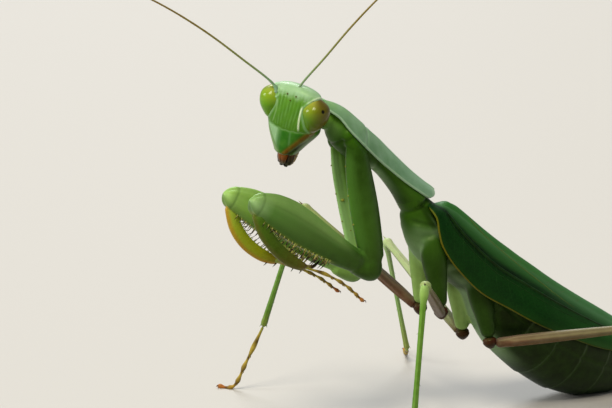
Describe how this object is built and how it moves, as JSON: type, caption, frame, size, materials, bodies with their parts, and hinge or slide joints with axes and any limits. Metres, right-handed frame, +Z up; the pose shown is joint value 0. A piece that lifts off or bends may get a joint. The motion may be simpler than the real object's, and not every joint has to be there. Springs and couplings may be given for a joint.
{
  "type": "praying mantis",
  "caption": "Adult green praying mantis standing with the forelegs folded in front, the head turned to its left and the wings closed along its back.",
  "frame": {"origin": "on the floor under the middle of the whole animal", "axes": "+Z up, +X towards the tail, the head faces -X, the animal's left side faces -Y"},
  "size_m": [0.0956, 0.075, 0.067],
  "materials": {
    "head_cuticle": "satin green cuticle",
    "eye": "glossy olive-green faceted eye",
    "mouthpart": "dark brown hard mouthparts",
    "antenna": "dull amber, green at the base",
    "shield": "pale blue-green cuticle with a light rim",
    "thorax": "satin leaf-green cuticle",
    "foreleg": "satin green cuticle with dark-tipped spines",
    "walking_coxa": "leaf-green cuticle",
    "shank": "brownish-pink cuticle",
    "shin": "fresh green cuticle",
    "foot": "yellow-brown with dark joints",
    "wing": "leathery dark green wing with a yellow-brown edge",
    "abdomen": "soft green cuticle, darker between the rings"
  },
  "bodies": {
    "root": {"head": "head_cuticle", "labrum": "mouthpart", "neck": "thorax", "pronotum": "shield", "prothorax": "thorax", "mesothorax": "thorax", "metathorax": "thorax", "abdomen_front": "abdomen", "abdomen_middle": "abdomen", "abdomen_rear": "abdomen", "eye_left": "eye", "mandible_left": "mouthpart", "palp_left": "mouthpart", "antenna_left": "antenna", "forewing_left": "wing", "cercus_left": "abdomen", "fore_coxa_left": "foreleg", "fore_trochanter_left": "foreleg", "fore_femur_left": "foreleg", "fore_tibia_left": "foreleg", "fore_tarsus_left": "foot", "mid_coxa_left": "walking_coxa", "mid_trochanter_left": "shank", "mid_femur_left": "shank", "mid_tibia_left": "shin", "mid_tarsus_left": "foot", "hind_coxa_left": "walking_coxa", "hind_trochanter_left": "shank", "hind_femur_left": "shank", "hind_tibia_left": "shin", "hind_tarsus_left": "foot", "eye_right": "eye", "mandible_right": "mouthpart", "palp_right": "mouthpart", "antenna_right": "antenna", "forewing_right": "wing", "cercus_right": "abdomen", "fore_coxa_right": "foreleg", "fore_trochanter_right": "foreleg", "fore_femur_right": "foreleg", "fore_tibia_right": "foreleg", "fore_tarsus_right": "foot", "mid_coxa_right": "walking_coxa", "mid_trochanter_right": "shank", "mid_femur_right": "shank", "mid_tibia_right": "shin", "mid_tarsus_right": "foot", "hind_coxa_right": "walking_coxa", "hind_trochanter_right": "shank", "hind_femur_right": "shank", "hind_tibia_right": "shin", "hind_tarsus_right": "foot"}
  },
  "joints": []
}
